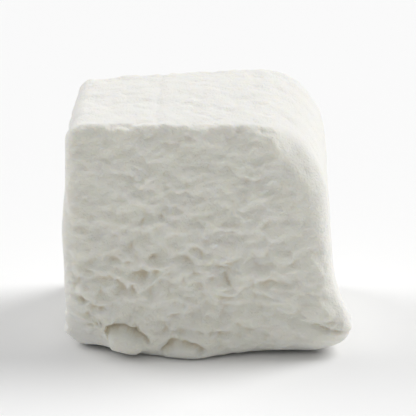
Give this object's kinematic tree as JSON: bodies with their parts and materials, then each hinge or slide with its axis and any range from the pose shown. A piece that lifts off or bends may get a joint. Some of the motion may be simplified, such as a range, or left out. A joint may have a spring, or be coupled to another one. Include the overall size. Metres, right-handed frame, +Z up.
{
  "type": "marshmallow",
  "caption": "Square-cut marshmallow: a soft rounded cube of white foam with smooth dusted skin, torn cut faces at front and back, and a ragged foot.",
  "frame": {"origin": "bottom centre of the marshmallow, on the surface that it stands on", "axes": "+Z up from the foot to the smooth top skin, -Y out of the front cut face, +X towards the side with the larger top rounding"},
  "size_m": [0.0406, 0.0382, 0.034],
  "materials": {
    "dusted_foam": "matte white set foam dusted with starch and icing sugar, soft light inside it, slightly creamy in the creases"
  },
  "bodies": {
    "root": {"marshmallow": "dusted_foam"}
  },
  "joints": []
}
